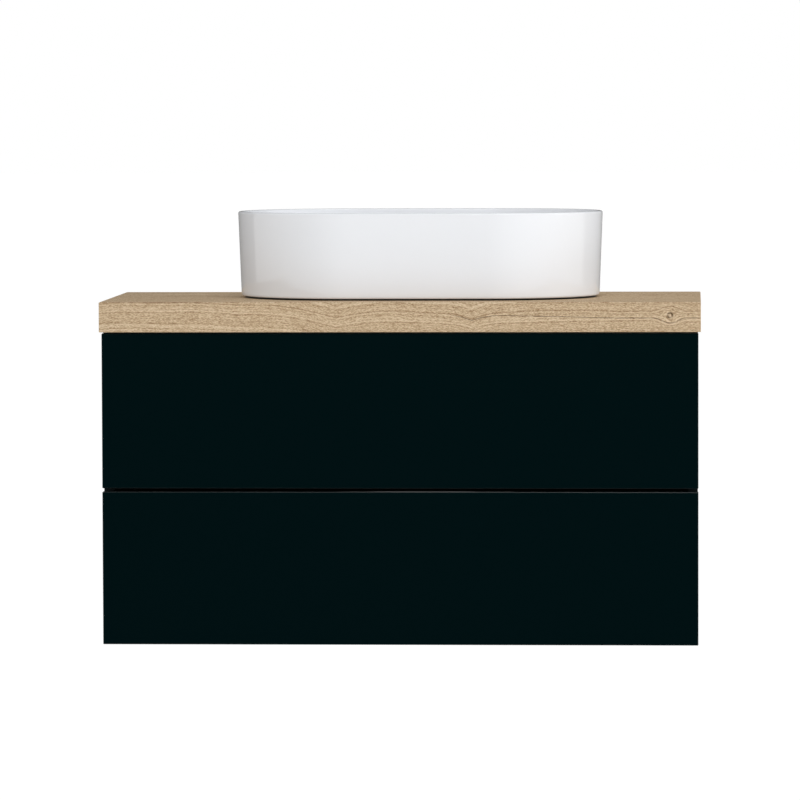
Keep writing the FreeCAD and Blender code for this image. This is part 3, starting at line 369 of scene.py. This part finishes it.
# The fork is a sharp dip and the sweep a long hump; both die away with the square of what is left.
for middle, reach, rise in (FORK, SWEEP):
    aside = add(tree, "Math", {0: length, 1: middle}, operation="SUBTRACT")
    aside = add(tree, "Math", {0: aside}, operation="ABSOLUTE")
    left = add(tree, "MapRange", {"Value": aside, "From Max": reach, "To Min": 1.0, "To Max": 0.0})
    left = add(tree, "Math", {0: left, 1: 2.0}, operation="POWER")
    level = add(tree, "Math", {0: left, 1: rise, 2: level}, operation="MULTIPLY_ADD")
# Growth rings are the distance from the tree's middle, which wanders along the board.
drift = add(tree, "Mapping", {"Vector": where, "Scale": [1 / run for run in WANDER_RUN]})
drift = add(tree, "TexNoise", {"Vector": drift, **WANDER_NOISE})
section = add(tree, "CombineXYZ", {"Y": depth, "Z": level})
radius = add(tree, "VectorMath", {0: section, 1: PITH}, operation="DISTANCE").outputs["Value"]
ring = add(tree, "Math", {0: drift, 1: WANDER, 2: radius}, operation="MULTIPLY_ADD")
# Pores and fibres are short strokes that lie along the rings.
shell = add(tree, "CombineXYZ", {"X": length, "Y": ring, "Z": depth})
grain = 0.0
for part, size in STROKES.items():
    strokes = add(tree, "Mapping", {"Vector": shell, "Scale": [1 / side for side in size]})
    strokes = add(tree, "TexNoise", {"Vector": strokes, **STROKE_NOISE})
    grain = add(tree, "Math", {0: strokes, 1: SHARES[part], 2: grain}, operation="MULTIPLY_ADD")
for part, spacing in RINGS.items():
    spaced = {"W": ring, "Scale": 1 / spacing, "Detail": RING_DETAIL}
    rings = add(tree, "TexNoise", spaced, noise_dimensions="1D")
    grain = add(tree, "Math", {0: rings, 1: SHARES[part], 2: grain}, operation="MULTIPLY_ADD")
tone = add(tree, "ValToRGB", {"Fac": grain})
while len(tone.color_ramp.elements) < len(OAK):
    tone.color_ramp.elements.new(1.0)
for stop, (place, text) in zip(tone.color_ramp.elements, OAK):
    stop.position, stop.color = place, colour(text)
# One long thin vein runs from the fork along the right half and dips under the knot's dark eye.
ends = {"To Min": VEIN_FALL[0], "To Max": VEIN_FALL[1]}
limits = {"Value": length, "From Min": VEIN_RUN[0], "From Max": VEIN_RUN[1], **ends}
off_vein = add(tree, "Math", {0: level, 1: add(tree, "MapRange", limits)}, operation="SUBTRACT")
off_vein = add(tree, "Math", {0: off_vein}, operation="ABSOLUTE")
fade = {"To Min": 1.0, "To Max": 0.0}
vein = add(tree, "MapRange", {"Value": off_vein, "From Max": VEIN_HALF, **fade})
faded = add(tree, "MapRange", {"Value": length, **VEIN_FADE})
vein = add(tree, "Math", {0: vein, 1: faded}, operation="MULTIPLY")
off_eye = add(tree, "Math", {0: off_knot, 1: KNOT_EYE}, operation="SUBTRACT")
off_eye = add(tree, "Math", {0: off_eye}, operation="ABSOLUTE")
eye = add(tree, "MapRange", {"Value": off_eye, "From Max": KNOT_EYE_HALF, **fade})
drawn = add(tree, "Math", {0: vein, 1: eye}, operation="MAXIMUM")
for value, limits in ((strokes, VEIN_BREAKS), (depth, VEIN_DEPTH)):
    kept = add(tree, "MapRange", {"Value": value, **limits})
    drawn = add(tree, "Math", {0: drawn, 1: kept}, operation="MULTIPLY")
# The edging meets the top in a fine dark joint along the front.
high = add(tree, "Math", {0: height, 1: JOINT_HIGH}, operation="GREATER_THAN")
ahead = add(tree, "Math", {0: depth, 1: JOINT_FRONT}, operation="LESS_THAN")
joint = add(tree, "Math", {0: high, 1: ahead}, operation="MULTIPLY")
joined = {0: joint, 1: JOINT_DARK, 2: drawn}
drawn = add(tree, "Math", joined, operation="MULTIPLY_ADD", use_clamp=True)
tone = add(tree, "Mix", {0: drawn, 6: tone, 7: colour(OAK_KNOT)}, data_type="RGBA")
tree.links.new(tone.outputs[2], shader.inputs["Base Color"])
pressed = add(tree, "Bump", {"Height": grain, **OAK_PRESSED}, invert=True)
tree.links.new(pressed.outputs[0], shader.inputs["Normal"])
dress(oak, "worktop")


# ---- basin
# A vessel basin slip-cast in vitreous china: thin upright walls, a rounded rim, a bowl that falls
# to the waste, and a bare foot ring set in below the heel. White gloss glaze, faintly uneven.

BASIN = (24 * MM, -215.5 * MM)
GLAZE, BISQUE = "#EBEDF1", "#DAD3C7"
# The glaze stops at this height, fades out over a little more, and pools in slow waves.
FOOT_TOP, GLAZE_EDGE = 105.8 * MM, 0.3 * MM
GLAZE_ROUGH = {"To Min": 0.85, "To Max": 0.055}
GLAZE_WAVE = {"Scale": 1 / (22 * MM), "Detail": 1.0}
GLAZE_FLOWED = {"Strength": 0.35, "Distance": 0.12 * MM}
ARC_STEPS, STRAIGHT_STEPS = 56, 10
STRAIGHT = 117.5
# Half the straight, end radius and height of each corner of the wall's section, and how far from
# the corner its rounding starts, all in mm.
BASIN_SECTION = [
    (STRAIGHT, 165.5, 105.0, 0.8),
    (STRAIGHT, 165.5, 107.7, 0.8),
    (STRAIGHT, 187.0, 107.8, 4.6),
    (STRAIGHT, 192.5, 251.0, 4.0),
    (STRAIGHT, 184.5, 251.0, 4.0),
    (STRAIGHT, 169.4, 147.0, 50.0),
    (0.0, 80.0, 146.4, 24.0),
    (0.0, 33.6, 142.2, 1.2),
    (0.0, 33.0, 139.0, 0.6),
    (0.0, 23.0, 139.0, 1.0),
    (0.0, 23.0, 105.0, 0.8),
    (0.0, 45.0, 105.0, 1.0),
    (0.0, 45.0, 127.0, 3.0),
    (STRAIGHT, 141.5, 127.0, 4.0),
    (STRAIGHT, 141.5, 105.0, 1.5),
]
# Points nearer to each other than this become one.
WELD = 0.001 * MM


def skin(name, grids, material, closed=(True, True)):
    """A smooth mesh over one grid of points, or over several like ones, joined up along its rows,
    its columns or both."""
    grids = np.reshape(grids, (-1, *np.shape(grids)[-3:]))
    rows, columns = grids.shape[1:3]
    here = np.arange(len(grids) * rows * columns).reshape(-1, rows, columns)
    turns = [here, np.roll(here, -1, 2), np.roll(here, (-1, -1), (1, 2)), np.roll(here, -1, 1)]
    quads = np.stack(turns, -1)[:, : rows - (not closed[0]), : columns - (not closed[1])]
    mesh = bpy.data.meshes.new(name)
    mesh.from_pydata(grids.reshape(-1, 3).tolist(), [], quads.reshape(-1, 4).tolist())
    mend = bmesh.new()
    mend.from_mesh(mesh)
    bmesh.ops.remove_doubles(mend, verts=mend.verts, dist=WELD)
    bmesh.ops.recalc_face_normals(mend, faces=mend.faces)
    # A thin disc can come out of that inside out.
    if mend.calc_volume(signed=True) < 0:
        bmesh.ops.reverse_faces(mend, faces=mend.faces)
    mend.to_mesh(mesh)
    mend.free()
    mesh.shade_smooth()
    mesh.materials.append(material)
    return link(name, mesh)


def eased(corners, steps):
    """A closed run with each corner c turned into (1-t)^2 a + 2t(1-t) c + t^2 b, where a and b lie
    the corner's own reach away from it towards its neighbours."""
    corners = np.asarray(corners, float)
    points, reach = corners[:, :-1], corners[:, -1:]
    before, after = (np.roll(points, shift, 0) - points for shift in (1, -1))
    start = points + before / np.linalg.norm(before, axis=1, keepdims=True) * reach
    end = points + after / np.linalg.norm(after, axis=1, keepdims=True) * reach
    t = np.linspace(0, 1, steps)[None, :, None]
    start, points, end = start[:, None], points[:, None], end[:, None]
    curves = (1 - t) ** 2 * start + 2 * t * (1 - t) * points + t**2 * end
    return curves.reshape(-1, points.shape[-1])


def racetrack(section, arc_steps, straight_steps):
    """Sweeps a section of (half straight s, end radius r, height z) round two half circles joined
    by straights: x = s e + r cos a and y = r sin a, where e runs from 1 at the right end to -1 at
    the left one and a is the angle."""
    half = np.linspace(-90, 90, arc_steps)
    run = np.linspace(1, -1, straight_steps + 2)[1:-1]
    end = np.concatenate([np.ones_like(half), run, -np.ones_like(half), -run])
    level = np.zeros_like(run)
    angle = np.radians(np.concatenate([half, level + 90, half + 180, level + 270]))
    straight, radius, height = (section[:, i : i + 1] for i in range(3))
    x = straight * end + radius * np.cos(angle)
    y = radius * np.sin(angle)
    return np.stack([x, y, np.broadcast_to(height, x.shape)], -1) * MM + [*BASIN, 0]


china, tree, shader, where = finish("glazed_vitreous_china", GLAZE, {"IOR": 1.52})
height = add(tree, "SeparateXYZ", {"Vector": where}).outputs[2]
limits = {"Value": height, "From Min": FOOT_TOP, "From Max": FOOT_TOP + GLAZE_EDGE}
glazed = add(tree, "MapRange", limits)
tone = add(tree, "Mix", {0: glazed, 6: colour(BISQUE), 7: colour(GLAZE)}, data_type="RGBA")
tree.links.new(tone.outputs[2], shader.inputs["Base Color"])
rough = add(tree, "MapRange", {"Value": glazed, **GLAZE_ROUGH})
tree.links.new(rough.outputs[0], shader.inputs["Roughness"])
wave = add(tree, "TexNoise", {"Vector": where, **GLAZE_WAVE})
flowed = add(tree, "Bump", {"Height": wave, **GLAZE_FLOWED})
tree.links.new(flowed.outputs[0], shader.inputs["Normal"])

wall = racetrack(eased(BASIN_SECTION, steps=9), ARC_STEPS, STRAIGHT_STEPS)
basin = skin("vessel_basin", wall, china)
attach(basin, "cabinet")
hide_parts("basin")


# ---- sealant bead
# A bead of neutral-cure silicone, pumped in under the heel once the basin stands on the
# worktop. It bonds the two. Its near-black colour is painted shade: it stands in for the dark
# contact shadow under the heel, so it shows as a dark line all round.

# Near-black: painted shade standing in for the contact shadow under the basin's heel.
SEALANT_SHADE_BLACK = "#0D0E0F"
SEALANT_SHINE = {"Roughness": 0.42, "IOR": 1.41}
DRAG = {"Scale": 1 / (5 * MM), "Detail": 2.0}
DRAGGED = {"Strength": 0.5, "Distance": 0.2 * MM}
# Half the straight, end radius, height and rounding of each corner, in mm.
BEAD_SECTION = [
    (STRAIGHT, 165.5, 105.0, 0.4),
    (STRAIGHT, 181.5, 105.0, 0.4),
    (STRAIGHT, 180.0, 106.3, 0.8),
    (STRAIGHT, 181.5, 107.7, 0.4),
    (STRAIGHT, 165.5, 107.7, 0.4),
]

shade_silicone, tree, shader, where = finish("silicone_painted_shade_black", SEALANT_SHADE_BLACK, SEALANT_SHINE)
drag = add(tree, "TexNoise", {"Vector": where, **DRAG})
dragged = add(tree, "Bump", {"Height": drag, **DRAGGED})
tree.links.new(dragged.outputs[0], shader.inputs["Normal"])
ring = racetrack(eased(BEAD_SECTION, steps=4), ARC_STEPS, STRAIGHT_STEPS)
bead = skin("sealant_bead", ring, shade_silicone)
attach(bead, "cabinet")


# ---- waste
# Chrome-plated brass: a flanged tube through basin and worktop, its hexagon nut, and a pushed plug
# with a slightly domed cap. Mirror bright and almost neutral.

CHROME = "#DCDEE0"
CHROME_ROUGH = {"From Min": 0.35, "From Max": 0.75, "To Min": 0.05, "To Max": 0.12}
WATER_MARK = {"Scale": 1 / (14 * MM), "Detail": 3.0}
PLUG_STEPS = 72
# Radius, height and rounding of each corner, in mm.
PLUG_SECTION = [
    (0.0, 112.3, 0.0),
    (5.0, 112.3, 0.8),
    (5.0, 142.3, 0.6),
    (29.4, 142.3, 0.5),
    (30.0, 144.2, 0.8),
    (28.8, 146.6, 1.1),
    (0.0, 147.3, 0.0),
]

chrome, tree, shader, where = finish("chrome_plated_brass", CHROME, {"Metallic": 1.0})
marks = add(tree, "TexNoise", {"Vector": where, **WATER_MARK})
rough = add(tree, "MapRange", {"Value": marks, **CHROME_ROUGH})
tree.links.new(rough.outputs[0], shader.inputs["Roughness"])
dress(chrome, "waste_body", "waste_nut")


def turned(section, steps, ribs=0, depth=0.0):
    """Turns a section of (radius r, height z) about the Z axis: x = r' cos a and y = r' sin a,
    where r' is r less depth times (1 + cos(ribs a)) / 2 on the section's ribbed points."""
    angle = np.linspace(0, 2 * np.pi, steps, endpoint=False)
    section = np.asarray(section, float)
    ribbed = section[:, 2:3] if section.shape[1] > 2 else 0.0
    radius = section[:, 0:1] - ribbed * depth * (1 + np.cos(ribs * angle)) / 2
    height = np.broadcast_to(section[:, 1:2], radius.shape)
    return np.stack([radius * np.cos(angle), radius * np.sin(angle), height], -1) * MM


cap = turned(eased(PLUG_SECTION, steps=6), PLUG_STEPS) + [*BASIN, 0]
plug = skin("plug_cap", cap, chrome, (False, True))
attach(plug, "plug")
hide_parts("waste_plug")


# ---- trap
# A bottle trap moulded in white polypropylene, slightly waxy with faint flow marks. Hand nuts with
# soft grips hold its two pipes, its cup screws off for cleaning, and a rosette closes the wall.

PLASTIC_WHITE = "#E9E9E5"
PLASTIC_WAXY = {"Roughness": 0.34, "IOR": 1.49}
FLOW = {"Scale": 1 / (7 * MM), "Detail": 3.0}
FLOW_MARKS = {"Strength": 0.3, "Distance": 0.05 * MM}

polypropylene, tree, shader, where = finish("white_polypropylene", PLASTIC_WHITE, PLASTIC_WAXY)
flow = add(tree, "TexNoise", {"Vector": where, **FLOW})
marked = add(tree, "Bump", {"Height": flow, **FLOW_MARKS})
tree.links.new(marked.outputs[0], shader.inputs["Normal"])
dress(polypropylene, "bottle_trap")

# Radius, height, 1 where the piece is ribbed and the reach of the rounding, in mm from each seat.
CUP_SECTION = [
    (0.0, 3.0, 0, 0.0),
    (33.2, 3.0, 0, 1.0),
    (33.2, 31.0, 0, 0.5),
    (35.0, 31.0, 0, 0.5),
    (36.2, 28.5, 1, 1.2),
    (36.2, 5.0, 1, 2.0),
    (33.0, 0.0, 0, 1.6),
    (0.0, 0.0, 0, 0.0),
]
ROSETTE_SECTION = [
    (16.3, 6.5, 0, 0.3),
    (30.0, 5.9, 0, 3.0),
    (35.2, 2.8, 0, 1.5),
    (35.5, 0.0, 0, 0.2),
    (37.0, 0.0, 0, 0.3),
    (37.0, 3.5, 0, 1.5),
    (31.0, 7.4, 0, 3.0),
    (16.3, 8.0, 0, 0.5),
]
RIB_STEPS, RIB_DEPTH = 8, 1.5
NUT_LIP, PIPE_BORE = 2.0, 16.2
# Ways for a turned piece to face: up, down, and out of the wall.
UP = np.diag([1, 1, 1])
DOWN = np.diag([1, 1, -1])
OUT = np.array([[1, 0, 0], [0, 0, -1], [0, 1, 0]])


def nut_section(radius, bore, height):
    """A hand nut's section: a lip that holds the pipe, a wide threaded bore and a ribbed grip."""
    inside = [(bore, height, 0, 0.5), (bore, NUT_LIP, 0, 0.4), (PIPE_BORE, NUT_LIP, 0, 0.3)]
    outside = [(radius - 3, 0.0, 0, 1.4), (radius, 3.0, 1, 1.0), (radius, height - 2, 1, 1.0)]
    return inside + [(PIPE_BORE, 0.0, 0, 0.3)] + outside + [(radius - 1.4, height, 0, 0.6)]


def seated(grid, way, middle):
    """A grid turned about the Z axis, turned again by the matrix way and moved to its middle."""
    return grid @ way.T + np.array(middle) * MM


# Name: section, number of ribs, way and middle of its seat in mm.
AXIS = (BASIN[0] / MM, BASIN[1] / MM)
TRAP_PIECES = {
    "trap_cup": (CUP_SECTION, 16, UP, (*AXIS, -127.0)),
    "inlet_nut": (nut_section(26.0, 21.2, 22.0), 14, UP, (*AXIS, 16.1)),
    "neck_nut": (nut_section(24.0, 20.4, 15.0), 12, DOWN, (*AXIS, -8.8)),
    "outlet_nut": (nut_section(24.0, 20.4, 15.0), 12, OUT, (AXIS[0], -166.3, -70.0)),
    "wall_rosette": (ROSETTE_SECTION, 12, OUT, (AXIS[0], 0.0, -70.0)),
}
for name, (section, ribs, way, middle) in TRAP_PIECES.items():
    grid = turned(eased(section, steps=5), ribs * RIB_STEPS, ribs, RIB_DEPTH)
    piece = skin(name, seated(grid, way, middle), polypropylene, (name != "trap_cup", True))
    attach(piece, "cabinet")
    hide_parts("trap_fittings")


# ---- screws
# Zinc-plated pan-head screws with a cross recess. They fix the drawer fronts through the inner
# fronts, the worktop and side panels to their brackets, and the hanger housings to the side panels.

# Radius, height, 1 where the wall of the recess is lobed and the reach of the rounding, in mm.
SCREW_SECTION = [
    (0.0, 0.7, 0, 0.0),
    (1.9, 0.7, 1, 0.1),
    (2.4, 2.1, 1, 0.1),
    (3.6, 1.7, 0, 0.5),
    (4.0, 0.5, 0, 0.4),
    (4.0, 0.0, 0, 0.0),
    (0.0, 0.0, 0, 0.0),
]
RECESS_LOBES, RECESS_STEPS, RECESS_DEPTH = 4, 8, 1.3
# More ways to face: back to the wall, to the left and to the right.
BACK = OUT * [1, 1, -1]
LEFT = np.array([[0, 0, -1], [0, 1, 0], [1, 0, 0]])
RIGHT = np.array([[0, 0, 1], [0, 1, 0], [1, 0, 0]])
FRONT_SCREWS_X = (-400, -200, 200, 400)
# Body and, for each head, the way that it faces and its place in mm.
SCREWS = {
    "upper_front_screws": ("upper_drawer", [(BACK, (x, -423, -100)) for x in FRONT_SCREWS_X]),
    "lower_front_screws": ("lower_drawer", [(BACK, (x, -423, -330)) for x in FRONT_SCREWS_X]),
    "bracket_screws": (
        "cabinet",
        [(way, (side * 477, y, 44)) for side, way in ((1, LEFT), (-1, RIGHT)) for y in (-95, -335)]
        + [(DOWN, (side * 468, y, 53)) for side in (1, -1) for y in (-95, -335)],
    ),
    "hanger_screws": (
        "cabinet",
        [(way, (side * 461, -57, z)) for side, way in ((1, LEFT), (-1, RIGHT)) for z in (16, 42)],
    ),
}
recess = (RECESS_LOBES * RECESS_STEPS, RECESS_LOBES, RECESS_DEPTH)
head = turned(eased(SCREW_SECTION, steps=4), *recess)
for name, (body, heads) in SCREWS.items():
    grids = [seated(head, way, place) for way, place in heads]
    piece = skin(name, grids, zinc_plate, (False, True))
    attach(piece, body)


# ---- cam caps
# Push-in polystyrene caps, 18 mm across, pressed in last over the cam fittings that pull the side
# panels onto the bottom panel and the two rails. Black, with the soft shine of the mould.

CAP_BLACK = "#1C1F20"
CAP_SHINE = {"Roughness": 0.4}
# The mould's grain is drawn coarser than it is, so that it shows.
CAP_SPARKS = {"Scale": 1 / (0.8 * MM), "Detail": 2.0}
CAP_MOULDED = {"Strength": 0.3, "Distance": 0.04 * MM}
# Radius, height and the reach of the rounding, in mm.
CAP_SECTION = [(0.0, 1.1, 0.0), (8.0, 0.9, 1.5), (9.0, 0.4, 0.3), (9.0, 0.0, 0.0), (0.0, 0.0, 0.0)]
CAP_STEPS = 40
# The way that each cap faces and its depth and height in mm. Each has a twin at the other panel.
CAPS = ((UP, -60, -448), (UP, -375, -448), (DOWN, -400, 39), (OUT, -36, 12))
CAP_X = 452

polystyrene, tree, shader, where = finish("black_polystyrene", CAP_BLACK, CAP_SHINE)
sparks = add(tree, "TexNoise", {"Vector": where, **CAP_SPARKS})
moulded = add(tree, "Bump", {"Height": sparks, **CAP_MOULDED})
tree.links.new(moulded.outputs[0], shader.inputs["Normal"])
cap = turned(eased(CAP_SECTION, steps=4), CAP_STEPS)
places = [seated(cap, way, (side * CAP_X, y, z)) for way, y, z in CAPS for side in (1, -1)]
caps = skin("cam_caps", places, polystyrene, (False, True))
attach(caps, "cabinet")
